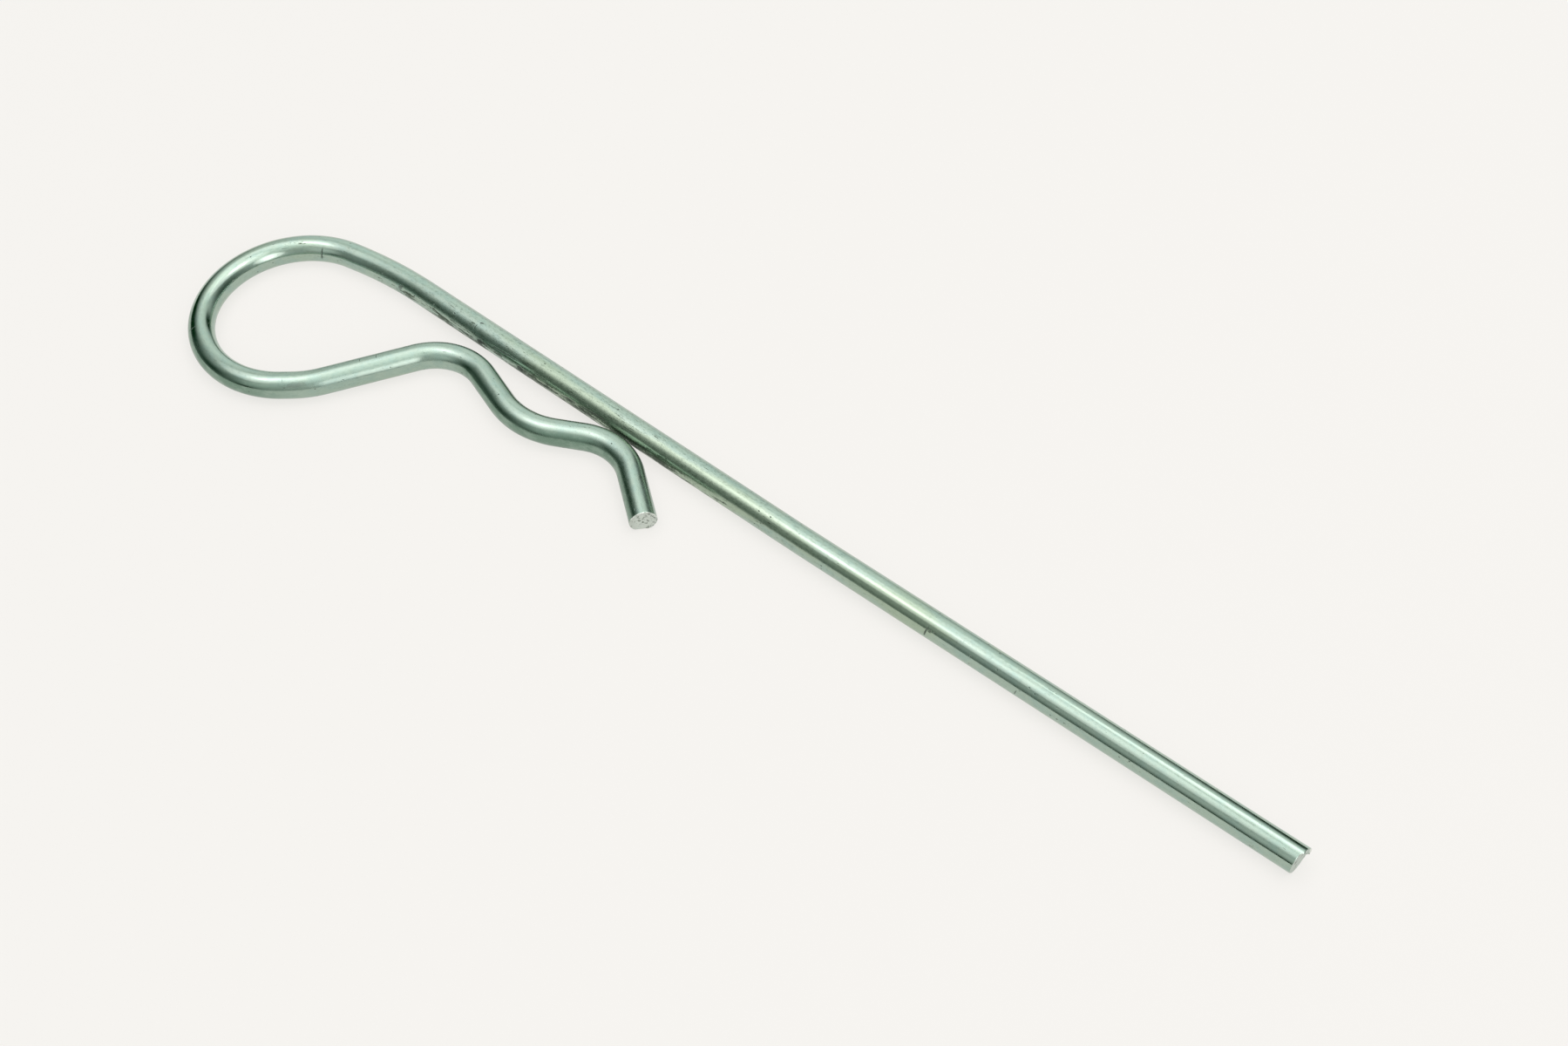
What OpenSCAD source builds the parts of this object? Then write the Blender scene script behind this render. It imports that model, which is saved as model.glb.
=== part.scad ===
// Hitch R-clip pin: one length of round spring wire, bent flat and sheared at both ends.
// A long straight leg runs into a finger loop, and the bent leg comes back along it as a waist,
// a seat for the shaft, a nip that springs on to the leg and a flared lip.
// The clip lies flat on the XY plane. The free end of the straight leg points along +X.

/* [Wire] */
// Diameter of the spring wire
wire_d = 4; // [3.5:0.1:4.5]

/* [Straight leg] */
// Free stretch of the straight leg, from its sheared tip to the slight set
pin_length = 78; // [50:1:120]
// Stretch of the straight leg between the set and the head
back_length = 72; // [60:1:100]
// Slight set that use has put in the straight leg, away from the bent leg
set_angle = 0.6; // [0.3:0.1:2]

/* [Head] */
// Inside radius of the finger loop
head_inner_r = 12.1; // [10:0.1:16]
// Inside radius of the slow bend that eases the straight leg into the loop
entry_inner_r = 66; // [40:1:90]
// Turn of that slow bend
entry_angle = 10.8; // [6:0.1:14]
// Inside radius of the bend that eases the loop into the bent leg
exit_inner_r = 13; // [12:0.1:18]
// Turn of that bend
exit_angle = 18.5; // [10:0.5:28]

/* [Bent leg] */
// Angle of the run from the loop towards the straight leg
run_angle = 58.2; // [50:0.1:66]
// Inside radius of the waist, the first crest
waist_inner_r = 7; // [5:0.1:10]
// Clear gap between the waist and the straight leg
waist_gap = 1.8; // [1:0.1:2.5]
// Angle of the fall from the waist into the seat
fall_angle = 18; // [14:0.5:24]
// Inside radius of the seat that lies round the shaft
seat_inner_r = 11; // [9:0.1:14]
// Clear gap between the seat and the straight leg, at its widest
seat_gap = 4.8; // [4.4:0.1:8]
// Angle of the rise from the seat to the nip
rise_angle = 27.5; // [24:0.5:32]
// Inside radius of the nip, the second crest
nip_inner_r = 7.4; // [5:0.1:10]
// Gap at the nip, where the bent leg all but touches the straight leg
nip_gap = 0.3; // [0.2:0.05:1]
// Angle at which the lead-in lip flares away from the straight leg
lip_angle = 35.6; // [25:0.1:45]
// Straight length of the lip, from the nip's bend to its sheared tip
lip_length = 8.8; // [6:0.1:14]

/* [Sheared ends] */
// Tilt of the sheared face from square
shear_tilt = 1.5; // [0.5:0.5:4]
// Radius of the edge that the blade rolled over
roll_over_r = 0.5; // [0.3:0.05:0.8]
// Height of the burr on the side that parted last
burr_height = 0.16; // [0.05:0.01:0.3]
// Width of the burr, measured in from the rim
burr_width = 0.45; // [0.3:0.05:0.7]
// Way round the wire from +Y to the burr on the straight leg's tip
pin_burr_turn = 35; // [0:5:90]
// Way round the wire from the lip's left side to the burr on its tip
lip_burr_turn = 80; // [0:5:90]

/* [Hidden] */
wire_r = wire_d / 2;
// Facets round the wire, and round a full turn of a bend
wire_facets = 48;
bend_facets = 144;
// The wire stretches a little thinner round a bend: the loss on its radius
bend_thinning = 0.01;
// Short straight left between two bends of the head by the former's pins
pin_pitch = 1.5;
// Radius on which the leg took its slight set
set_r = 400;
// Share of the roll-over radius that lies back from the face, and in from the side
roll_back = 0.9;
roll_in = 0.8;
// Extra length and reach of cutting shapes
spare = 1;

// Centreline radii
entry_r = entry_inner_r + wire_r;
head_r = head_inner_r + wire_r;
exit_r = exit_inner_r + wire_r;
waist_r = waist_inner_r + wire_r;
seat_r = seat_inner_r + wire_r;
nip_r = nip_inner_r + wire_r;

// A pose on the centreline is [x, y, heading]
// The pose after a straight run
function along(pose, run) =
  [pose.x + run * cos(pose.z), pose.y + run * sin(pose.z), pose.z];
// The pose after a bend: a positive turn goes left
function around(pose, r, turn) =
  let (side = sign(turn))
  [pose.x + side * r * (sin(pose.z + turn) - sin(pose.z)),
   pose.y - side * r * (cos(pose.z + turn) - cos(pose.z)),
   pose.z + turn];
// The centre that a bend turns about
function centre(pose, r, turn) =
  let (side = sign(turn)) [pose.x - side * r * sin(pose.z), pose.y + side * r * cos(pose.z)];
// A link is [radius, turn, straight run after it]: the poses where the links start, and the end
function walk(pose, links, i = 0) =
  i == len(links) ? [pose]
  : concat([pose], walk(along(around(pose, links[i].x, links[i].y), links[i].z), links, i + 1));
function last(list) = list[len(list) - 1];
// Height that a bend climbs before it is level
function climb(r, turn) = r * (1 - cos(turn));
// Straight run that makes up the rest of a height at an angle
function run_for(height, angle) = height / sin(angle);

// The loop takes what the two easing bends leave of the turn
head_angle = 180 + run_angle - entry_angle - exit_angle;
head_links = [
  [entry_r, entry_angle, pin_pitch],
  [head_r, head_angle, pin_pitch],
  [exit_r, exit_angle, 0]
];
// Depth of the bent leg under the straight leg's axis where it leaves the head
head_depth = -last(walk([0, 0, 180], head_links)).y;

// The straight runs follow from the gaps that the bent leg keeps to the straight leg
run_length = run_for(head_depth - wire_d - waist_gap - climb(waist_r, run_angle), run_angle);
fall_length = run_for(seat_gap - waist_gap - climb(waist_r + seat_r, fall_angle), fall_angle);
rise_length = run_for(seat_gap - nip_gap - climb(seat_r + nip_r, rise_angle), rise_angle);

// The whole wire from the set to the lip's tip
links = concat(
  [[set_r, -set_angle, back_length]],
  [head_links[0], head_links[1]],
  [[exit_r, exit_angle, run_length],
   [waist_r, -(run_angle + fall_angle), fall_length],
   [seat_r, fall_angle + rise_angle, rise_length],
   [nip_r, -(rise_angle + lip_angle), lip_length]]
);
set_pose = [0, 0, 180];
poses = walk(set_pose, links);

// Overall box, which the origin is the middle of
head_centre = centre(poses[2], head_r, head_angle);
head_reach = head_r + wire_r - bend_thinning;
tip_reach = (wire_r - burr_width) * tan(shear_tilt) + burr_height;
left = head_centre.x - head_reach;
right = pin_length + tip_reach;
front = head_centre.y - head_reach;
back = poses[1].y + wire_r;
middle = [(left + right) / 2, (front + back) / 2];

module at_pose(pose) {
  translate([pose.x, pose.y, 0]) rotate(pose.z) children();
}

module straight(run) {
  rotate([0, 90, 0]) cylinder(r = wire_r, h = run, $fn = wire_facets);
}

// The thinner bend starts and ends inside the straights, where its curve has
// left their axis by half of the thinning
module bend(r, turn) {
  lead = sqrt(bend_thinning * r) / r * 180 / PI;
  side = sign(turn);
  start = side > 0 ? -90 - lead : 90 + turn - lead;
  translate([0, side * r, 0])
    rotate(start)
      rotate_extrude(angle = abs(turn) + 2 * lead, $fn = bend_facets)
        translate([r, 0]) circle(r = wire_r - bend_thinning, $fn = wire_facets);
}

// What the shear takes away beyond the tip, drawn with X along the wire and Y towards the burr
module shear_waste() {
  slope = tan(shear_tilt);
  lip_in = wire_r - burr_width;
  low = -wire_r - spare;
  crest = tip_reach;
  roll_centre = [-wire_r * slope - roll_back * roll_over_r, -wire_r + roll_in * roll_over_r];
  translate([0, 0, -wire_d]) {
    linear_extrude(height = 2 * wire_d)
      polygon([[low * slope, low], [lip_in * slope, lip_in], [crest, lip_in + burr_width / 2],
               [crest, wire_r + spare], [wire_d, wire_r + spare], [wire_d, low]]);
    linear_extrude(height = 2 * wire_d)
      difference() {
        translate([roll_centre.x, low]) square([wire_r, roll_centre.y - low]);
        translate(roll_centre) circle(r = roll_over_r, $fn = wire_facets);
      }
  }
}

// A straight whose far end is sheared, with the burr turned that far round the wire
module sheared(run, burr_turn) {
  difference() {
    straight(run + spare);
    translate([run, 0, 0]) rotate([burr_turn, 0, 0]) shear_waste();
  }
}

module r_clip() {
  color([0.68, 0.74, 0.71])
    translate([-middle.x, -middle.y, wire_r]) {
      sheared(pin_length, pin_burr_turn);
      for (i = [0 : len(links) - 1]) {
        at_pose(poses[i]) bend(links[i].x, links[i].y);
        at_pose(around(poses[i], links[i].x, links[i].y))
          if (i < len(links) - 1) straight(links[i].z);
          else sheared(lip_length, lip_burr_turn);
      }
    }
}

r_clip();
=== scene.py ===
"""Dresses the hitch R-clip: one length of zinc-plated spring wire, sheared at both ends and bent flat.

The wire is made in the order that a workshop makes it. A straight length of stock is drawn out and its
ends are sheared. Each point then keeps its place on the straight stock, which the finish follows
round every bend, and the stock is bent along its path into the place of the frame's solid.
"""

import math
from typing import NamedTuple

import bmesh
import bpy
from bpy.props import FloatProperty, FloatVectorProperty, IntProperty, PointerProperty
from bpy.types import Operator, Panel, PropertyGroup
from mathutils import Matrix, Vector, noise


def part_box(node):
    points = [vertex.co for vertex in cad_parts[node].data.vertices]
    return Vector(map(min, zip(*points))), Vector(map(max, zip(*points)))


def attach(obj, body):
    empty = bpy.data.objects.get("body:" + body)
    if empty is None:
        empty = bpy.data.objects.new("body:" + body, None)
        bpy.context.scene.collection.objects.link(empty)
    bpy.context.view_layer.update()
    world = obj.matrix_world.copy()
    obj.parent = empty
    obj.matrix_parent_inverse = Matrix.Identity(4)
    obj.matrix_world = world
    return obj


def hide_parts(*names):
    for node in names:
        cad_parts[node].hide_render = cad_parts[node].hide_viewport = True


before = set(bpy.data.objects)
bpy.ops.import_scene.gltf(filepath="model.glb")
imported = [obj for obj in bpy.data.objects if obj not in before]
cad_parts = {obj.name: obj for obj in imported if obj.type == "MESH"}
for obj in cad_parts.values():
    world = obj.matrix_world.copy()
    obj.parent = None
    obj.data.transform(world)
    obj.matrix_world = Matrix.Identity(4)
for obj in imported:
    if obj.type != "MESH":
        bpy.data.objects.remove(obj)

bl_info = {
    "name": "Hitch R-Clip",
    "version": (1, 0, 0),
    "blender": (4, 5, 0),
    "location": "View3D > Sidebar > R-Clip",
    "description": "Makes a bent spring-wire clip with a worn zinc finish, on a plain studio table",
    "category": "Add Mesh",
}

MM = 0.001
NODE = "r_clip"
STRAIGHTENED = "straightened"
SHEARED = "sheared"
BURRED = "burred"
# Points along the path that are looked at for its reach to each side
PATH_SAMPLES = 4000
# Widths of the rings that an end face is divided into, as shares of the wire's radius
FACE_RINGS = (0.02, 0.03, 0.05, 0.06, 0.09, 0.12, 0.15, 0.15, 0.15, 0.12)
# Distance within which a point counts as lying on an end face
ON_FACE = 1e-7
# How closely the burr's notches and the torn grain follow each other, and how far their noise is
# shifted for each metre of wire, so that the two ends differ
JAG_SCALE = 4.5
JAG_SHIFT = 90
TEAR_SCALE = 1600
TEAR_SHIFT = 50
# How strongly the notches cut into a burr, and how fine the torn grain goes
JAG_STRENGTH = 1.1
TEAR_OCTAVES = 3
# Share of the burr's width over which it rises
BURR_RISE = 0.75
# Where the burr's ridge and the torn part of a face begin, in radii towards the burr, and how many
# radii further on they are full
RIDGE_FROM = -0.05
RIDGE_OVER = 0.7
TORN_FROM = -0.35
TORN_OVER = 0.5
# The lowest notch of a burr and the shallowest tear, as shares of the full ones
LEAST = 0.25
# Where the tongue's step lies and how wide it is, as shares of the radius towards the burr
TONGUE_EDGE = 0.45
TONGUE_STEP = 0.14
# Margin that stays smooth along the rim of a face, and how far in the mark of a sheared face sets in
SMOOTH_MARGIN = 0.04 * MM
FACE_MARGIN = 0.03 * MM
# How far back from its crest a burr is painted bright: bare metal, and also a painted highlight along its rim
BRIGHT_BURR_REACH = 0.15 * MM
# Share of the solid's burr that no point of the face stands out past
HIGHEST = 0.98


def millimetres(name, description, value):
    """A length that is written in millimetres and kept in metres."""
    return FloatProperty(name=name, description=description, default=value * MM, unit="LENGTH", precision=5)


def degrees(name, description, value):
    """An angle that is written in degrees and kept in radians."""
    return FloatProperty(name=name, description=description, default=math.radians(value), subtype="ANGLE")


def share(name, description, value):
    """A share from nothing to all."""
    return FloatProperty(name=name, description=description, default=value, min=0, max=1, subtype="FACTOR")


def strength(name, description, value):
    """A strength of light, where 1 shows a colour as it is written."""
    return FloatProperty(name=name, description=description, default=value, min=0)


def colour(name, description, value):
    """A colour in linear red, green and blue."""
    return FloatVectorProperty(
        name=name, description=description, default=value, size=3, min=0, max=1, subtype="COLOR")


class RClipWire(PropertyGroup):
    """Sizes of the bent wire, as the frame's solid has them."""
    diameter: millimetres("Diameter", "Diameter of the spring wire", 4)
    pin_length: millimetres("Pin Length", "Free stretch of the straight leg, from its tip to the set", 78)
    back_length: millimetres("Back Length", "Straight leg between the set and the head", 72)
    set_radius: millimetres("Set Radius", "Radius on which the leg took its slight set", 400)
    set_angle: degrees("Set Angle", "Slight set that use has put in the straight leg", 0.6)
    head_radius: millimetres("Head Radius", "Inside radius of the finger loop", 12.1)
    entry_radius: millimetres("Entry Radius", "Inside radius of the bend that leads into the loop", 66)
    entry_angle: degrees("Entry Angle", "Turn of the bend that leads into the loop", 10.8)
    exit_radius: millimetres("Exit Radius", "Inside radius of the bend that leads out of the loop", 13)
    exit_angle: degrees("Exit Angle", "Turn of the bend that leads out of the loop", 18.5)
    pin_pitch: millimetres("Pin Pitch", "Short straight that the former's pins leave between bends", 1.5)
    run_angle: degrees("Run Angle", "Angle of the run from the loop towards the straight leg", 58.2)
    waist_radius: millimetres("Waist Radius", "Inside radius of the first crest", 7)
    waist_gap: millimetres("Waist Gap", "Clear gap between the first crest and the straight leg", 1.8)
    fall_angle: degrees("Fall Angle", "Angle of the fall from the first crest into the seat", 18)
    seat_radius: millimetres("Seat Radius", "Inside radius of the seat round the shaft", 11)
    seat_gap: millimetres("Seat Gap", "Widest clear gap between the seat and the straight leg", 4.8)
    rise_angle: degrees("Rise Angle", "Angle of the rise from the seat to the nip", 27.5)
    nip_radius: millimetres("Nip Radius", "Inside radius of the second crest", 7.4)
    nip_gap: millimetres("Nip Gap", "Gap at the second crest", 0.3)
    lip_angle: degrees("Lip Angle", "Angle at which the lead-in lip flares away", 35.6)
    lip_length: millimetres("Lip Length", "Straight length of the lip", 8.8)
    thinning: millimetres("Thinning", "What the radius of the wire loses round a bend", 0.01)
    thinning_reach: millimetres("Thinning Reach", "Stretch of a bend over which the wire thins", 2)


class RClipEnds(PropertyGroup):
    """Shape of the two sheared ends."""
    tilt: degrees("Tilt", "Tilt of the sheared face from square", 1.5)
    roll_in: millimetres("Roll In", "How far in from its side the edge is rolled over", 0.4)
    roll_back: millimetres("Roll Back", "How far back from the face the edge is rolled over", 0.45)
    burr_height: millimetres("Burr Height", "Height of the burr where the blade came out", 0.16)
    burr_width: millimetres("Burr Width", "Width of the burr, in from the rim", 0.45)
    torn_depth: millimetres("Torn Depth", "Depth of the texture where the metal tore", 0.035)
    zone: millimetres("Zone", "Stretch of the wire that the shear has drawn along", 1.5)
    tongue_height: millimetres(
        "Tongue Height", "How far the straight leg's tongue stands out past its face", 0.3)
    pin_roll: share("Pin Roll", "How much of the rolled edge the straight leg's tip has", 0.35)
    pin_burr_turn: degrees("Pin Burr Turn", "Way round from the outer side to the straight leg's burr", 35)
    lip_burr_turn: degrees("Lip Burr Turn", "Way round from the inner side to the lip's burr", 80)


class RClipMesh(PropertyGroup):
    """How finely the wire is divided."""
    sides: IntProperty(name="Sides", description="Sides of the wire's section", default=96, min=12)
    pitch: millimetres("Pitch", "Distance between the wire's rings", 0.5)
    end_rings: IntProperty(
        name="End Rings", description="Rings within a sheared end's zone", default=14, min=2)


class RClipFinish(PropertyGroup):
    """Colours and depths of the worn plating."""
    plating: colour("Plating", "Clear part of the zinc plating", (0.41, 0.52, 0.44))
    cool_film: colour("Cool Film", "Where the passivated film is thicker", (0.375, 0.50, 0.435))
    warm_film: colour("Warm Film", "Where the passivated film has yellowed", (0.40, 0.50, 0.385))
    grime: colour("Grime", "Old grease and dust on the inner sides", (0.05, 0.078, 0.048))
    # Darker film for the bent leg's outer side: partly a dull film, partly painted shade for the darker
    # reflection of the shaded floor beside it
    outer_film_and_shade: colour("Tarnish", "Dull film on the outer side of the bent leg", (0.19, 0.285, 0.22))
    pit: colour("Pit", "Bottom of a pit or a nick", (0.03, 0.045, 0.035))
    # Bright bare metal on the sheared faces, and on a burr's crest, where it is also a painted highlight
    # along the rim
    bare_and_sheen: colour("Fresh", "Metal that the shear laid bare on a burr", (0.82, 0.86, 0.8))
    gloss: share("Gloss", "Roughness of the clean plating", 0.15)
    line_depth: millimetres("Line Depth", "Depth of the lines that the drawing die left", 0.0012)
    grain_depth: millimetres("Grain Depth", "Depth of the plating's fine grain", 0.0011)
    wave_depth: millimetres("Wave Depth", "Depth of the slow waves in the surface", 0.016)
    pit_depth: millimetres("Pit Depth", "Depth of the pits and nicks", 0.02)


class RClipStage(PropertyGroup):
    """The floor, the lamps and the camera."""
    floor: colour("Floor", "Colour of the floor and of what lies behind it", (0.893, 0.877, 0.846))
    even: share("Even", "How much of the floor's look comes from its own colour and not from light", 0.82)
    back_lamp: strength("Back Lamp", "Brightness of the softbox overhead, to the right and behind", 2.75)
    left_lamp: strength("Left Lamp", "Brightness of the softbox overhead, to the left", 2.1)
    side_lamp: strength("Side Lamp", "Brightness of the softbox at the right", 4.0)
    walls: strength("Walls", "Brightness of the room's walls", 0.42)
    darkest: strength("Darkest", "Brightness of the room's darkest corner", 0.03)
    azimuth: degrees("Azimuth", "Camera's bearing, from the front towards the right", 43.184)
    elevation: degrees("Elevation", "Camera's height as an angle", 51.773)
    roll: degrees("Roll", "Camera's turn about its line of sight", -3.754)
    distance: millimetres("Distance", "Camera's distance from the point that it looks at", 303.378)
    aim: FloatVectorProperty(
        name="Aim", description="Point that the camera looks at", size=3, subtype="TRANSLATION",
        default=(8.085 * MM, 14.669 * MM, 2 * MM), precision=5)
    lens: FloatProperty(
        name="Lens", description="Focal length on a 36 mm sensor, in millimetres", default=50.766)


class Stretch(NamedTuple):
    """A stretch of the wire's path. Its turn is nothing where it is straight, and positive to the left."""
    length: float
    turn: float


def straight(length):
    return Stretch(length, 0.0)


def bend(radius, turn):
    return Stretch(radius * abs(turn), turn)


def moved_along(pose, stretch, run):
    """The pose that far along a stretch. A pose's X axis points along the wire, and its Z axis up."""
    if not stretch.turn:
        return pose @ Matrix.Translation((run, 0, 0))
    centre = Vector((0, stretch.length / stretch.turn, 0))
    return (pose @ Matrix.Translation(centre) @ Matrix.Rotation(stretch.turn * run / stretch.length, 4, "Z")
            @ Matrix.Translation(-centre))


def walk(pose, stretches):
    """The poses where the stretches start, and the one at the end."""
    poses = [pose]
    for stretch in stretches:
        poses.append(moved_along(poses[-1], stretch, stretch.length))
    return poses


def climb(radius, turn):
    """Height that a bend climbs before it is level."""
    return radius * (1 - math.cos(turn))


def wire_stretches(wire):
    """The whole path, from the straight leg's tip to the lip's. The runs follow from the gaps to the leg."""
    radius = wire.diameter / 2
    waist, seat, nip = (r + radius for r in (wire.waist_radius, wire.seat_radius, wire.nip_radius))
    head = [
        bend(wire.entry_radius + radius, wire.entry_angle),
        straight(wire.pin_pitch),
        bend(wire.head_radius + radius, math.pi + wire.run_angle - wire.entry_angle - wire.exit_angle),
        straight(wire.pin_pitch),
        bend(wire.exit_radius + radius, wire.exit_angle),
    ]
    depth = walk(Matrix.Identity(4), head)[-1].translation.y
    run = (depth - wire.diameter - wire.waist_gap - climb(waist, wire.run_angle)) / math.sin(wire.run_angle)
    fall = (wire.seat_gap - wire.waist_gap - climb(waist + seat, wire.fall_angle)) / math.sin(wire.fall_angle)
    rise = (wire.seat_gap - wire.nip_gap - climb(seat + nip, wire.rise_angle)) / math.sin(wire.rise_angle)
    if min(run, fall, rise) <= 0:
        raise ValueError("The bends leave no straight run between them")
    return [
        straight(wire.pin_length), bend(wire.set_radius, -wire.set_angle), straight(wire.back_length),
        *head, straight(run),
        bend(waist, -(wire.run_angle + wire.fall_angle)), straight(fall),
        bend(seat, wire.fall_angle + wire.rise_angle), straight(rise),
        bend(nip, -(wire.rise_angle + wire.lip_angle)), straight(wire.lip_length),
    ]


class WirePath:
    """The path of the bent wire, in the place of the frame's solid."""

    def __init__(self, wire):
        self.stretches = wire_stretches(wire)
        self.starts = [sum(s.length for s in self.stretches[:i]) for i in range(len(self.stretches))]
        self.length = self.starts[-1] + self.stretches[-1].length
        self.poses = walk(Matrix.Rotation(math.pi, 4, "Z"), self.stretches)
        self.place(wire)

    def place(self, wire):
        """Moves the path so that the loop's left and the leg's back lie on the sides of the solid's box."""
        low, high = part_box(NODE)
        radius = wire.diameter / 2
        points = [self.pose_at(self.length * i / PATH_SAMPLES).translation for i in range(PATH_SAMPLES + 1)]
        shift = Matrix.Translation((
            low.x - min(p.x for p in points) + radius - wire.thinning,
            high.y - max(p.y for p in points) - radius,
            low.z + radius))
        self.poses = [shift @ pose for pose in self.poses]

    def at(self, along):
        """The stretch that a distance from the straight leg's tip falls in, and how far along it."""
        index = max(i for i, start in enumerate(self.starts) if start <= max(along, 0.0))
        return index, along - self.starts[index]

    def pose_at(self, along):
        index, run = self.at(along)
        return moved_along(self.poses[index], self.stretches[index], run)

    def bent_share(self, along, reach):
        """How much of a bend's thinning the wire has: none on a straight, all of it a reach into a bend."""
        index, run = self.at(along)
        stretch = self.stretches[index]
        if not stretch.turn:
            return 0.0
        return smooth(min(run, stretch.length - run) / min(reach, stretch.length / 2))


def smooth(t):
    """Eases a share that goes from 0 to 1."""
    t = min(max(t, 0.0), 1.0)
    return t * t * (3 - 2 * t)


def draw_stock(bm, wire, mesh, ends, length):
    """Draws a straight length of stock along X, with closer rings near its two ends."""
    turn = Matrix.Rotation(math.pi / 2, 4, "Y")
    made = bmesh.ops.create_circle(
        bm, segments=mesh.sides, radius=wire.diameter / 2, cap_ends=True, matrix=turn)
    rim = list({edge for vert in made["verts"] for edge in vert.link_edges})
    middle = length - 2 * ends.zone
    rings = round(middle / mesh.pitch)
    for run, cuts in ((ends.zone, mesh.end_rings), (middle, rings), (ends.zone, mesh.end_rings)):
        drawn = bmesh.ops.extrude_edge_only(bm, edges=rim)["geom"]
        verts = [part for part in drawn if isinstance(part, bmesh.types.BMVert)]
        bmesh.ops.translate(bm, verts=verts, vec=(run, 0, 0))
        sides = [edge for vert in verts for edge in vert.link_edges
                 if edge.other_vert(vert).co.x < vert.co.x - run / 2]
        rim = [part for part in drawn if isinstance(part, bmesh.types.BMEdge) and part.is_boundary]
        bmesh.ops.subdivide_edges(bm, edges=sides, cuts=cuts - 1, use_grid_fill=True)
    bmesh.ops.contextual_create(bm, geom=rim)


def divide_face(bm, wire, along):
    """Divides the end face that lies there into rings that close in on its middle."""
    faces = [face for face in bm.faces if all(abs(vert.co.x - along) < ON_FACE for vert in face.verts)]
    radius = wire.diameter / 2
    for step in FACE_RINGS:
        bmesh.ops.inset_individual(bm, faces=faces, thickness=step * radius)
    bmesh.ops.poke(bm, faces=faces)


def shear_end(bm, wire, ends, tip, outward, burr_turn, roll=1.0, tongue_height=0.0):
    """Leaves an end as the blades leave it: rolled over where one went in, torn and burred where it came out.

    A tongue is a piece of the face, on the side of the burr, that parted further out than the rest.
    """
    burred = bm.verts.layers.float.get(BURRED) or bm.verts.layers.float.new(BURRED)
    radius = wire.diameter / 2
    slope = math.tan(ends.tilt)
    towards_burr = Vector((0, math.cos(burr_turn), math.sin(burr_turn)))
    reach = (radius - ends.burr_width) * slope + ends.burr_height
    for vert in bm.verts:
        back = (tip - vert.co.x) * outward
        if back > ends.zone:
            continue
        across = Vector((0, vert.co.y, vert.co.z))
        inset = radius - across.length
        lean = across.dot(towards_burr) / radius
        on_face = back <= ON_FACE
        # Each ring of the wall follows the rim in front of it
        rim = across if on_face else across * min(1.0, radius / across.length)
        height = rim.dot(towards_burr) * slope
        rolled = (roll * ends.roll_in - radius - rim.dot(towards_burr)) / (roll * ends.roll_in)
        rolled = min(max(rolled, 0.0), 1.0)
        height -= roll * ends.roll_back * (1 - math.sqrt(1 - rolled * rolled))
        notches = noise.noise(across.normalized() * JAG_SCALE + Vector((tip * JAG_SHIFT, 0, 0)))
        jag = smooth(0.5 + JAG_STRENGTH * notches)
        ridge = (smooth((ends.burr_width - inset) / (BURR_RISE * ends.burr_width))
                 * smooth((lean - RIDGE_FROM) / RIDGE_OVER))
        height += ends.burr_height * ridge * (LEAST + (1 - LEAST) * jag)
        tongue = smooth((rim.dot(towards_burr) / radius - TONGUE_EDGE) / TONGUE_STEP)
        height -= tongue_height * (1 - tongue)
        if on_face and inset > SMOOTH_MARGIN:
            torn = smooth((lean - TORN_FROM) / TORN_OVER)
            grain = noise.turbulence(
                across * TEAR_SCALE + Vector((tip * TEAR_SHIFT, 0, 0)), TEAR_OCTAVES, False)
            height -= ends.torn_depth * (LEAST + (1 - LEAST) * torn) * grain
        height = min(height, HIGHEST * reach)
        # Where the burr's crest is painted bright: bare metal, and a painted highlight along its rim
        vert[burred] = ridge * jag * smooth(1 - back / BRIGHT_BURR_REACH)
        vert.co.x += outward * height * (1 - back / ends.zone)


def keep_straight_place(bm, wire):
    """Keeps each point's place on the straight stock, and whether it lies on a sheared face."""
    place = bm.verts.layers.float_vector.new(STRAIGHTENED)
    sheared = bm.verts.layers.float.new(SHEARED)
    for vert in bm.verts:
        vert[place] = vert.co
        inset = wire.diameter / 2 - Vector((0, vert.co.y, vert.co.z)).length
        vert[sheared] = smooth(inset / FACE_MARGIN)


def bend_stock(bm, wire, path):
    """Bends the straight stock along the path."""
    poses = {}
    for vert in bm.verts:
        along = vert.co.x
        key = round(along, 8)
        if key not in poses:
            poses[key] = (path.pose_at(along), 1 - path.bent_share(along, wire.thinning_reach)
                          * wire.thinning / (wire.diameter / 2))
        pose, thin = poses[key]
        vert.co = pose @ Vector((0, vert.co.y * thin, vert.co.z * thin))


class Number:
    """A number that varies over a surface. An expression on it adds its Math nodes."""

    def __init__(self, bench, socket):
        self.bench, self.socket = bench, socket

    def __add__(self, other):
        return self.bench.maths("ADD", self, other)

    def __sub__(self, other):
        return self.bench.maths("SUBTRACT", self, other)

    def __rsub__(self, other):
        return self.bench.maths("SUBTRACT", other, self)

    def __mul__(self, other):
        return self.bench.maths("MULTIPLY", self, other)

    def __truediv__(self, other):
        return self.bench.maths("DIVIDE", self, other)

    __radd__ = __add__
    __rmul__ = __mul__


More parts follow.
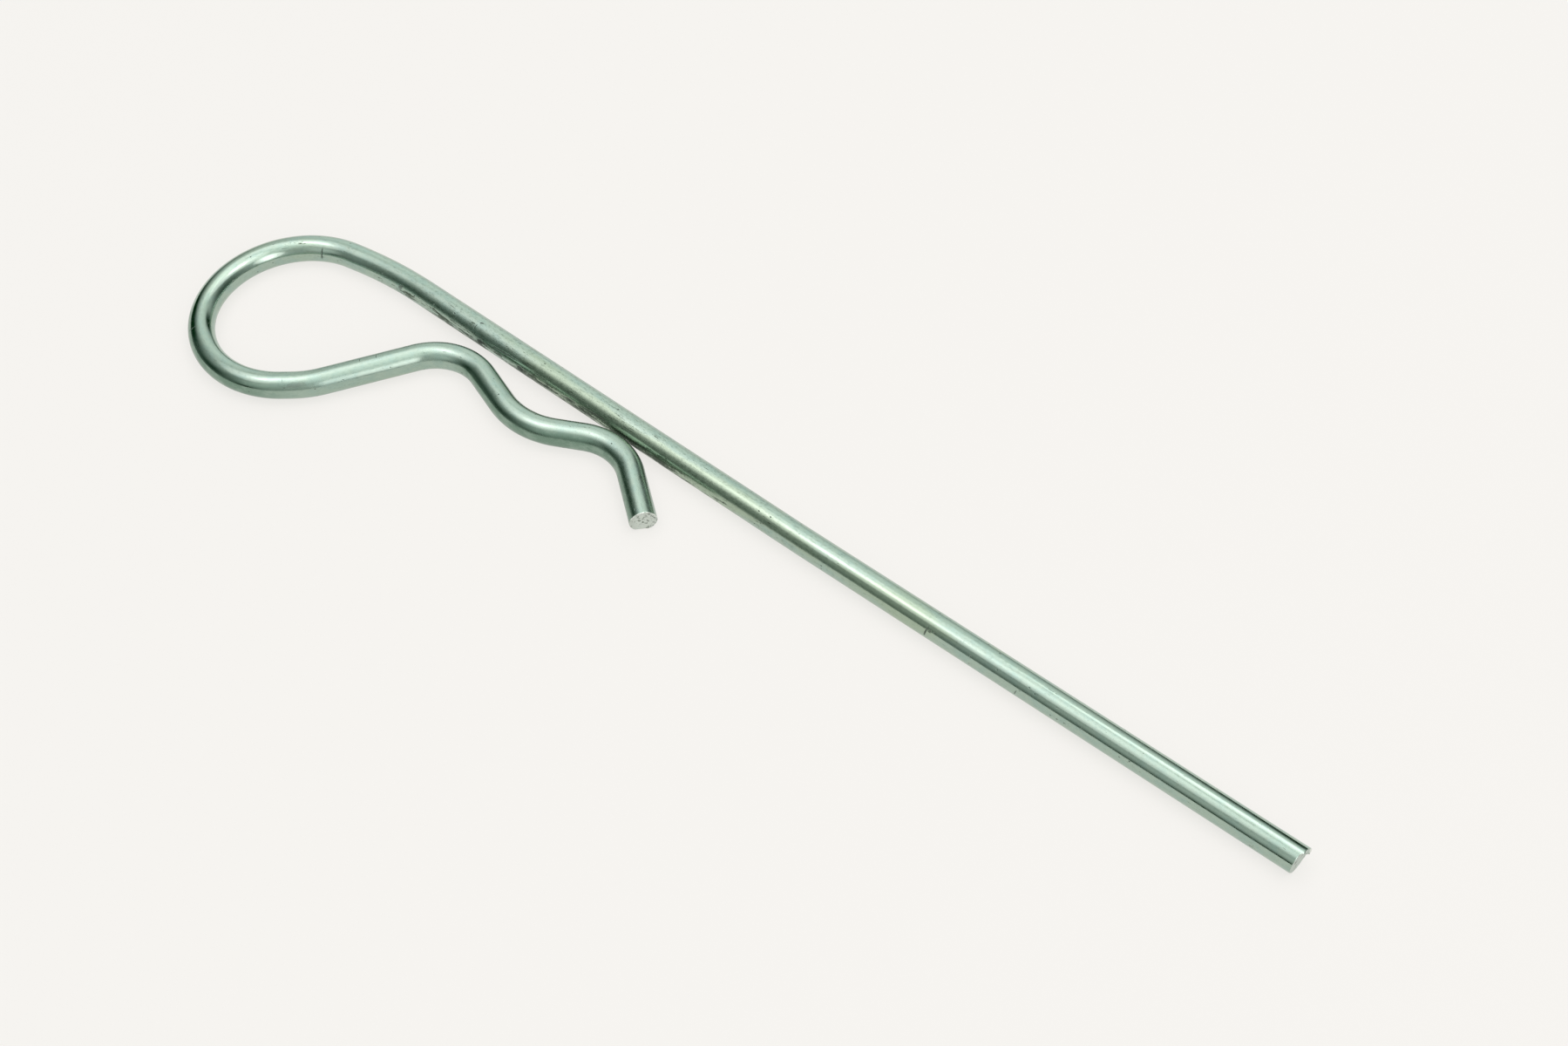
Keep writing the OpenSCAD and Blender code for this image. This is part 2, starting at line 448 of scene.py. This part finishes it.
class NodeBench:
    """Lays the nodes of a material or a world."""

    def __init__(self, owner):
        owner.use_nodes = True
        self.tree = owner.node_tree
        self.tree.nodes.clear()

    def node(self, kind, settings=None, inputs=None):
        """Adds a node: first its settings, then the values or links of its sockets, by name or by number."""
        node = self.tree.nodes.new(kind)
        for name, value in (settings or {}).items():
            setattr(node, name, value)
        for name, value in (inputs or {}).items():
            if isinstance(value, Number):
                value = value.socket
            if isinstance(value, bpy.types.NodeSocket):
                self.tree.links.new(value, node.inputs[name])
            else:
                node.inputs[name].default_value = value
        return node

    def maths(self, operation, *values):
        node = self.node("ShaderNodeMath", {"operation": operation}, dict(enumerate(values)))
        return Number(self, node.outputs[0])

    def highest(self, first, second):
        return self.maths("MAXIMUM", first, second)

    def ease(self, value, start, end):
        """Goes smoothly from 0 to 1 as the value goes from start to end."""
        node = self.node("ShaderNodeMapRange", {"interpolation_type": "SMOOTHSTEP"},
                         {"Value": value, "From Min": start, "From Max": end})
        return Number(self, node.outputs["Result"])

    def stretched(self, place, scale, shift=(0, 0, 0)):
        """A place with each of its axes scaled, and then shifted."""
        node = self.node("ShaderNodeMapping", {"vector_type": "POINT"},
                         {"Vector": place, "Scale": scale, "Location": shift})
        return node.outputs["Vector"]

    def noise(self, place, scale=1.0, detail=2.0, roughness=0.5):
        node = self.node("ShaderNodeTexNoise", {"normalize": True}, {
            "Vector": place, "Scale": scale, "Detail": detail, "Roughness": roughness})
        return Number(self, node.outputs["Fac"])

    def texture(self, place, look):
        """One of the noises that the finish is made of."""
        return self.noise(self.stretched(place, look.scale, look.shift), detail=look.detail,
                          roughness=look.roughness)

    def within(self, along, reach):
        """Is 1 on a stretch of the wire, and eases to 0 at its ends."""
        return self.ease(along, reach.starts, reach.full) * self.ease(along, reach.ends, reach.full_until)

    def attribute(self, name, output):
        """What each point of the mesh keeps under a name."""
        node = self.node("ShaderNodeAttribute", {"attribute_type": "GEOMETRY", "attribute_name": name})
        return node.outputs[output]

    def mixed(self, share, first, second):
        """Goes from the first colour to the second as the share goes from 0 to 1."""
        node = self.node("ShaderNodeMix", {"data_type": "RGBA"}, {0: share, 6: first, 7: second})
        return node.outputs[2]

    def axes(self, place):
        """The three numbers of a place."""
        node = self.node("ShaderNodeSeparateXYZ", None, {0: place})
        return [Number(self, socket) for socket in node.outputs]


def opaque(rgb):
    return (*rgb, 1.0)


class Texture(NamedTuple):
    """A noise: its scale along, across and up the straight stock, its shift, and how fine it goes."""
    scale: tuple
    shift: tuple = (0, 0, 0)
    detail: float = 2.0
    roughness: float = 0.5


WAVES = Texture((0.16, 0.42, 0.42), detail=1.5)
LINES = Texture((0.05, 5.5, 5.5), detail=3, roughness=0.6)
FINE_LINES = Texture((0.3, 15, 15), (7, 0, 0))
GRAIN = Texture((3.6, 6, 6), detail=3, roughness=0.65)
SPECKLE = Texture((1.6, 3.4, 3.4), (4, 9, 2), detail=3, roughness=0.75)
MOTTLE = Texture((0.5, 0.9, 0.9), (31, 5, 2), detail=4, roughness=0.6)
PATCHES = Texture((0.22, 0.8, 0.8), (3, 8, 1), detail=3)
STREAKS = Texture((0.32, 3.8, 3.8), (1, 2, 8), detail=5, roughness=0.7)
CROSS_LINES = Texture((7.0, 0.35, 0.35), (0, 3, 9))
SCRATCHED_SPOTS = Texture((0.9, 0.9, 0.9), (11, 0, 4), detail=1)
YELLOWED_SPOTS = Texture((0.06, 0.3, 0.3), (50, 0, 0), detail=3)


class Reach(NamedTuple):
    """A stretch of the wire in millimetres from the straight leg's tip. It comes in and fades out slowly."""
    starts: float
    full: float
    full_until: float
    ends: float


WORN = Reach(30, 60, 120, 150)            # handled where it is gripped
DULLED = Reach(55, 100, 140, 172)         # dulled between the nip and the loop
SOILED = Reach(70, 112, 140, 170)         # soiled where the bent leg lies close
RUBBED = Reach(131, 133.5, 137.5, 139.5)  # rubbed clean again
# Along this stretch the outer side's darker film and painted shade ease off, and the plating is rougher
KEPT = Reach(214, 224, 246, 250)          # cleaner stretch of the bent leg


class Mark(NamedTuple):
    """A nick, pit or scratch. Its sizes are in millimetres on the straight stock, its angles in degrees."""
    along: float
    round_from_top: float
    half_length: float
    half_width: float
    turn: float
    depth: float


# Where the wire has been knocked, scratched and streaked. An angle round from the top is positive
# towards the inner side.
MARKS = [
    Mark(56.2, 70, 0.9, 0.16, 80, 1.0),
    Mark(55.6, 58, 0.3, 0.2, 20, 0.7),
    Mark(41.5, 84, 0.6, 0.1, 75, 0.8),
    Mark(35.4, 40, 0.5, 0.07, 10, 0.5),
    Mark(92.5, 84, 1.6, 0.16, 3, 0.7),
    Mark(104.5, 92, 2.4, 0.2, 2, 0.8),
    Mark(109.0, 97, 2.2, 0.3, -4, 1.0),
    Mark(113.6, -10, 0.22, 0.16, 0, 0.9),
    Mark(116.5, 66, 3.2, 0.24, 2, 0.9),
    Mark(118.0, 88, 2.4, 0.26, -2, 0.9),
    Mark(121.5, 76, 1.6, 0.3, 5, 0.8),
    Mark(126.5, 90, 2.2, 0.3, 0, 0.9),
    Mark(127.5, 58, 2.0, 0.15, -4, 0.7),
    Mark(131.4, 82, 0.8, 0.5, 0, 1.0),
    Mark(135.0, 58, 3.2, 0.22, 3, 0.9),
    Mark(139.8, 79, 0.7, 0.55, 20, 1.0),
    Mark(143.0, 84, 1.8, 0.2, 0, 0.7),
    Mark(141.0, 2, 0.4, 0.16, 15, 1.0),
    Mark(141.5, 32, 0.5, 0.08, 80, 0.7),
    Mark(157.0, 66, 0.7, 0.4, 40, 0.7),
    Mark(173.0, 68, 1.2, 0.16, 84, 1.0),
    # A broad, shallow dark spot on the outer upper side of the bent leg's run
    Mark(222.4, -44, 1.6, 0.5, 4, 0.4),
    Mark(232.0, 14, 0.45, 0.06, 80, 0.9),
    Mark(234.4, 10, 0.5, 0.06, 80, 0.9),
]


# How ragged a mark's edge is, and where the mark starts and is at its full depth, as shares of its reach
RAGGED = 0.9
MARK_STARTS = 1.15
MARK_FULL = 0.45


def marks_on(bench, place, radius):
    """How deep the marks go, from 0 to 1. The place is in millimetres on the straight stock."""
    ragged = bench.noise(place, scale=3.1, detail=3) * RAGGED - RAGGED / 2
    depth = None
    for mark in MARKS:
        turn = math.radians(mark.round_from_top)
        lie = Matrix.Rotation(-turn, 3, "X") @ Matrix.Rotation(math.radians(mark.turn), 3, "Z")
        local = bench.node("ShaderNodeMapping", {"vector_type": "TEXTURE"}, {
            "Vector": place,
            "Location": (mark.along, radius * math.sin(turn), radius * math.cos(turn)),
            "Rotation": lie.to_euler(),
            "Scale": (mark.half_length, mark.half_width, 1.0)})
        span = bench.node("ShaderNodeVectorMath", {"operation": "LENGTH"}, {0: local.outputs[0]})
        reached = Number(bench, span.outputs["Value"]) + ragged
        one = bench.ease(reached, MARK_STARTS, MARK_FULL) * mark.depth
        depth = one if depth is None else bench.highest(depth, one)
    return depth


def zinc_finish(finish, wire):
    """Bright zinc over drawn wire: die lines, fine grain, slow waves, pits, scratches and old grime."""
    material = bpy.data.materials.new("zinc_wire")
    bench = NodeBench(material)
    radius = wire.diameter / 2 / MM
    place = bench.stretched(bench.attribute(STRAIGHTENED, "Vector"), (1 / MM, 1 / MM, 1 / MM))
    sheared = Number(bench, bench.attribute(SHEARED, "Fac"))
    burred = Number(bench, bench.attribute(BURRED, "Fac"))
    along, inner, up = bench.axes(place)

    # Slow waves, lines of the die, and the grain of the plating
    waves, lines, fine_lines, grain, speckle, mottle = (
        bench.texture(place, look) for look in (WAVES, LINES, FINE_LINES, GRAIN, SPECKLE, MOTTLE))

    # Handling has dulled the wire. Grime keeps to the side that faces the other leg, and mostly to its foot
    facing = bench.ease(inner, -0.35 * radius, 0.8 * radius)
    dulled = bench.within(along, DULLED)
    rubbed = bench.within(along, RUBBED) * bench.ease(inner, 0.35 * radius, radius)
    leg = bench.within(along, SOILED) * (1 - rubbed * 0.6)
    tail = bench.ease(along, 236, 250) * 0.4
    low = bench.ease(up, 0.6 * radius, 0.15 * radius) * bench.ease(inner, 0, 0.5 * radius)
    soiled = (leg + tail) * facing * (0.35 + low * 0.65)
    patches = bench.texture(place, PATCHES)
    streaks = bench.texture(place, STREAKS)
    grime = bench.ease(patches * 0.5 + streaks * 0.95 + speckle * 0.5 + soiled * 0.28, 1.15, 1.25)

    # Pits, few where the wire is clean and many where it is soiled
    cells = bench.node("ShaderNodeTexVoronoi", {"feature": "F1", "distance": "EUCLIDEAN"}, {
        "Vector": bench.stretched(place, (1.0, 1.5, 1.5)), "Scale": 1.0, "Randomness": 1.0})
    chance = bench.axes(cells.outputs["Color"])[0]
    pits = (bench.ease(Number(bench, cells.outputs["Distance"]), 0.2, 0.07)
            * bench.ease(chance + soiled * 0.3, 0.88, 0.92))

    # Short scratches across the wire
    cross = bench.texture(place, CROSS_LINES)
    where = bench.texture(place, SCRATCHED_SPOTS)
    scratches = bench.ease(cross, 0.70, 0.78) * bench.ease(where, 0.56, 0.66)
    marks = marks_on(bench, place, radius)
    hollows = bench.highest(bench.highest(pits, marks), scratches * 0.5)

    # The passivated film, from the cleanest to the dirtiest
    film = bench.mixed(bench.ease(mottle, 0.42, 0.66), opaque(finish.plating), opaque(finish.cool_film))
    yellowed = bench.texture(place, YELLOWED_SPOTS)
    worn = bench.within(along, WORN) * facing
    film = bench.mixed(bench.ease(yellowed + worn * 0.25, 0.58, 0.78), film, opaque(finish.warm_film))
    film = bench.mixed(bench.ease(speckle, 0.5, 0.34) * (0.12 + dulled * 0.22), film, opaque(finish.grime))
    # The bent leg's outer side is painted darker and mottled: partly a dull film, partly painted shade for
    # the darker reflection of the shaded floor beside it. It eases off along part of the bent leg
    outer = bench.ease(inner, -0.35 * radius, -0.85 * radius) * bench.ease(along, 190, 202)
    kept = bench.within(along, KEPT)
    shaded_outer = outer * (1 - kept * 0.8) * (0.7 + bench.ease(mottle + speckle * 0.3, 0.5, 0.7) * 0.3)
    film = bench.mixed(shaded_outer, film, opaque(finish.outer_film_and_shade))
    film = bench.mixed(facing * 0.08, film, opaque(finish.grime))

    # The sheared faces are barer, the lip's more than the straight leg's
    film = bench.mixed(sheared * (0.3 + bench.ease(along, 10, 20) * 0.35), film, opaque(finish.bare_and_sheen))
    stains = bench.noise(place, scale=1.2, detail=3, roughness=0.7)
    face_stains = bench.ease(stains, 0.55, 0.65) * sheared
    dirtied = bench.mixed(bench.highest(grime * 0.93, face_stains * 0.8), film, opaque(finish.grime))
    skin = bench.mixed(hollows * 0.8, dirtied, opaque(finish.pit))
    # The burr's crest takes the bright bare colour: bare metal, and a painted highlight along its rim
    skin = bench.mixed(bench.ease(burred, 0.3, 0.7), skin, opaque(finish.bare_and_sheen))

    gloss = (finish.gloss + (mottle - 0.5) * 0.14 + (lines - 0.5) * 0.12 + (speckle - 0.5) * 0.2
             + dulled * 0.09 + bench.ease(along, 232, 284) * 0.12 + kept * 0.08 + grime * 0.16
             + hollows * 0.2 + sheared * 0.2)
    height = (waves * (finish.wave_depth / MM) + lines * (finish.line_depth / MM)
              + fine_lines * (0.5 * finish.line_depth / MM)
              + grain * (finish.grain_depth / MM) * (1 + dulled * 2 + grime * 2 + sheared * 9)
              - hollows * (finish.pit_depth / MM))
    relief = bench.node("ShaderNodeBump", None, {"Height": height, "Distance": MM, "Strength": 1.0})
    shader = bench.node("ShaderNodeBsdfPrincipled", {"distribution": "GGX"}, {
        "Base Color": skin,
        "Metallic": 1 - grime * 0.2 - hollows * 0.3,
        "Roughness": gloss,
        "Normal": relief.outputs["Normal"]})
    bench.node("ShaderNodeOutputMaterial", None, {"Surface": shader.outputs[0]})
    return material


def new_object(name, bm):
    """Makes an object of a bmesh, and frees the bmesh."""
    mesh = bpy.data.meshes.new(name)
    bm.to_mesh(mesh)
    bm.free()
    piece = bpy.data.objects.new(name, mesh)
    bpy.context.scene.collection.objects.link(piece)
    return piece


class RCLIP_OT_bend_wire(Operator):
    """Draw the stock, shear its ends, bend it and give it its zinc finish"""
    bl_idname = "rclip.bend_wire"
    bl_label = "Bend Wire"

    def execute(self, context):
        scene = context.scene
        wire, ends = scene.rclip_wire, scene.rclip_ends
        path = WirePath(wire)
        bm = bmesh.new()
        draw_stock(bm, wire, scene.rclip_mesh, ends, path.length)
        for along in (0.0, path.length):
            divide_face(bm, wire, along)
        bmesh.ops.recalc_face_normals(bm, faces=bm.faces)
        shear_end(bm, wire, ends, 0.0, -1, math.pi - ends.pin_burr_turn, ends.pin_roll,
                  ends.tongue_height)
        shear_end(bm, wire, ends, path.length, 1, ends.lip_burr_turn)
        keep_straight_place(bm, wire)
        bend_stock(bm, wire, path)
        bm.normal_update()
        for face in bm.faces:
            face.smooth = True
        if any(not edge.is_manifold for edge in bm.edges):
            raise RuntimeError("The wire's skin isn't closed")
        if bm.calc_volume(signed=True) <= 0:
            raise RuntimeError("The wire's skin faces inwards")
        piece = new_object("bent_wire", bm)
        piece.data.materials.append(zinc_finish(scene.rclip_finish, wire))
        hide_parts(NODE)
        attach(piece, "root")
        return {"FINISHED"}


LAMP_COLOUR = (1.0, 0.89, 0.95)
# A softbox is three nested lamps. The first two have their name, how many times wider and higher than
# the softbox they are, and their share of the light. The size of the third is the softbox's own.
SOFTBOX_MIDDLE = ("middle", (0.55, 0.55), 0.75)
SOFTBOX_CLOTH = ("cloth", (1.1, 1.1), 0.3)
RIM_LIGHT = 0.2
FLOOR_SIZE = 4
SENSOR_WIDTH = 36
# How much less red and blue than green the room shows
LESS_RED = 0.04
LESS_BLUE = 0.025


def bearing(azimuth, off_zenith):
    """The direction at an angle round from +X towards +Y, and down from straight up, in degrees."""
    azimuth, off_zenith = math.radians(azimuth), math.radians(off_zenith)
    return Vector((math.sin(off_zenith) * math.cos(azimuth), math.sin(off_zenith) * math.sin(azimuth),
                   math.cos(off_zenith)))


def oval_lamp(name, azimuth, off_zenith, distance, size, turn, brightness):
    """An oval lamp that faces the object.

    Each unit of brightness adds what a white surface of that level shows.
    """
    lamp = bpy.data.lights.new(name, "AREA")
    lamp.shape = "ELLIPSE"
    lamp.size, lamp.size_y = size
    # The renderer spreads an area lamp's power over four times its area
    lamp.energy = brightness * math.pi * size[0] * size[1]
    lamp.color = LAMP_COLOUR
    holder = bpy.data.objects.new(name, lamp)
    towards = bearing(azimuth, off_zenith)
    holder.matrix_world = (Matrix.Translation(towards * distance)
                           @ towards.to_track_quat("Z", "Y").to_matrix().to_4x4()
                           @ Matrix.Rotation(math.radians(turn), 4, "Z"))
    holder.visible_camera = False
    bpy.context.scene.collection.objects.link(holder)


def softbox(name, azimuth, off_zenith, distance, size, turn, brightness, rim=(1.8, 1.8)):
    """A softbox whose light fades from its middle to its rim.

    The rim says how many times wider and higher than the softbox it is.
    """
    for part, grow, level in (SOFTBOX_MIDDLE, SOFTBOX_CLOTH, ("rim", rim, RIM_LIGHT)):
        oval_lamp(f"{name}_{part}", azimuth, off_zenith, distance,
                  [side * more for side, more in zip(size, grow)], turn, level * brightness)


def lay_floor(stage):
    """A wide pale floor that shows its own colour and keeps the object's shadow."""
    bm = bmesh.new()
    bmesh.ops.create_grid(bm, x_segments=1, y_segments=1, size=FLOOR_SIZE)
    floor = new_object("floor", bm)
    material = bpy.data.materials.new("pale_floor")
    bench = NodeBench(material)
    path = bench.node("ShaderNodeLightPath")
    seen = bench.highest(bench.highest(Number(bench, path.outputs["Is Camera Ray"]),
                                       Number(bench, path.outputs["Is Glossy Ray"])),
                         Number(bench, path.outputs["Is Transmission Ray"]))
    lit = bench.node("ShaderNodeBsdfDiffuse", None, {"Color": opaque(stage.floor)})
    own = bench.node("ShaderNodeEmission", None, {"Color": opaque(stage.floor), "Strength": 1.0})
    mix = bench.node("ShaderNodeMixShader", None, {
        0: seen * stage.even, 1: lit.outputs[0], 2: own.outputs[0]})
    bench.node("ShaderNodeOutputMaterial", None, {"Surface": mix.outputs[0]})
    floor.data.materials.append(material)


# Soft patches of the room, worked out from the reflections along the wire: bearing, angle down from
# straight up, how far each spreads, and how much brighter or darker than the walls it is
ROOM_PATCHES = [
    (100, 0, 0.17, 0.9),      # ceiling
    (143, 65, 0.175, 1.05),   # pale wall behind, to the left
    (48, 75, 0.16, -0.32),    # dark corner behind, to the right
    (97, 64, 0.009, -0.6),    # dark gap beside the pale wall
    (97, 73, 0.008, -0.6),    # the middle of that gap
    (97, 82, 0.009, -0.6),    # and its foot
    (168, 69, 0.135, -1.0),   # dark doorway at the left
    (226, 72, 0.065, -0.34),  # dark corner in front, to the left
    (263, 88, 0.015, -0.5),   # dark skirting in front
    (250, 77, 0.02, -0.08),   # and what stands against it
    (272, 59, 0.06, 0.38),    # pale wall in front
    (311, 49, 0.035, -0.27),  # dark gap in front, to the right
    (340, 41, 0.12, 0.39),    # pale wall at the right
    (332, 60, 0.12, 0.2),     # and its foot
    (243, 42, 0.03, -0.12),   # dark beam in front, to the left
    (90, 59, 0.05, 0.27),     # pale wall behind
    (130, 17, 0.02, -0.21),   # dim ceiling beside the lamps
    (112, 31, 0.012, 0.8),    # bright end of the lamps' rail
    (100, 87, 0.01, -0.5),    # dark skirting behind
]


def paint_room(stage):
    """A grey room with pale and dark patches. What the camera sees of it is as pale as the floor."""
    world = bpy.data.worlds.new("studio_room")
    bench = NodeBench(world)
    looking = bench.node("ShaderNodeTexCoord").outputs["Generated"]
    level = stage.walls
    for azimuth, off_zenith, spread, brighter in ROOM_PATCHES:
        dot = bench.node("ShaderNodeVectorMath", {"operation": "DOT_PRODUCT"},
                         {0: looking, 1: bearing(azimuth, off_zenith)})
        near = bench.maths("EXPONENT", (Number(bench, dot.outputs["Value"]) - 1) / spread)
        level = near * brighter + level
    level = bench.highest(level, stage.darkest)
    seen = Number(bench, bench.node("ShaderNodeLightPath").outputs["Is Camera Ray"])
    # The darker it is, the greener
    grey = bench.node("ShaderNodeCombineColor", None, {
        0: bench.highest(level - LESS_RED, 0.0), 1: level,
        2: bench.highest(level - LESS_BLUE, 0.0)}).outputs[0]
    shown = bench.mixed(seen, grey, opaque(stage.floor))
    background = bench.node("ShaderNodeBackground", None, {"Color": shown, "Strength": 1.0})
    bench.node("ShaderNodeOutputWorld", None, {"Surface": background.outputs[0]})
    bpy.context.scene.world = world


def aim_camera(stage):
    """Looks at the clip from the front right and above."""
    camera = bpy.data.cameras.new("camera")
    camera.lens, camera.sensor_width = stage.lens, SENSOR_WIDTH
    holder = bpy.data.objects.new("camera", camera)
    turn = (Matrix.Rotation(stage.azimuth, 4, "Z") @ Matrix.Rotation(math.pi / 2 - stage.elevation, 4, "X")
            @ Matrix.Rotation(stage.roll, 4, "Z"))
    holder.matrix_world = (Matrix.Translation(stage.aim) @ turn
                           @ Matrix.Translation((0, 0, stage.distance)))
    bpy.context.scene.collection.objects.link(holder)
    bpy.context.scene.camera = holder


class RCLIP_OT_set_stage(Operator):
    """Lay the floor, hang the lamps, paint the room and aim the camera"""
    bl_idname = "rclip.set_stage"
    bl_label = "Set Stage"

    def execute(self, context):
        stage = context.scene.rclip_stage
        lay_floor(stage)
        softbox("back_softbox", 51, 25, 0.9, (0.65, 0.38), -175, stage.back_lamp)
        softbox("left_softbox", 193, 24, 0.9, (0.32, 0.68), 91, stage.left_lamp)
        softbox("side_softbox", -20, 63, 1.2, (0.41, 0.94), 0, stage.side_lamp, rim=(1.9, 1.15))
        paint_room(stage)
        aim_camera(stage)
        context.scene.view_settings.view_transform = "Standard"
        return {"FINISHED"}


class RCLIP_PT_clip(Panel):
    """The clip's sizes and finish, and the buttons that make it"""
    bl_label = "Hitch R-Clip"
    bl_space_type = "VIEW_3D"
    bl_region_type = "UI"
    bl_category = "R-Clip"

    def draw(self, context):
        scene = context.scene
        self.layout.operator(RCLIP_OT_bend_wire.bl_idname)
        self.layout.operator(RCLIP_OT_set_stage.bl_idname)
        for name in GROUPS:
            group = getattr(scene, name)
            box = self.layout.box()
            for setting in group.__annotations__:
                box.prop(group, setting)


GROUPS = {
    "rclip_wire": RClipWire,
    "rclip_ends": RClipEnds,
    "rclip_mesh": RClipMesh,
    "rclip_finish": RClipFinish,
    "rclip_stage": RClipStage,
}
CLASSES = (*GROUPS.values(), RCLIP_OT_bend_wire, RCLIP_OT_set_stage, RCLIP_PT_clip)


def register():
    for made in CLASSES:
        bpy.utils.register_class(made)
    for name, group in GROUPS.items():
        setattr(bpy.types.Scene, name, PointerProperty(type=group))


def unregister():
    for name in GROUPS:
        delattr(bpy.types.Scene, name)
    for made in reversed(CLASSES):
        bpy.utils.unregister_class(made)


def main():
    """Makes the clip and its stage."""
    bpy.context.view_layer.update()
    register()
    bpy.ops.rclip.bend_wire()
    bpy.ops.rclip.set_stage()


if __name__ == "__main__":
    main()
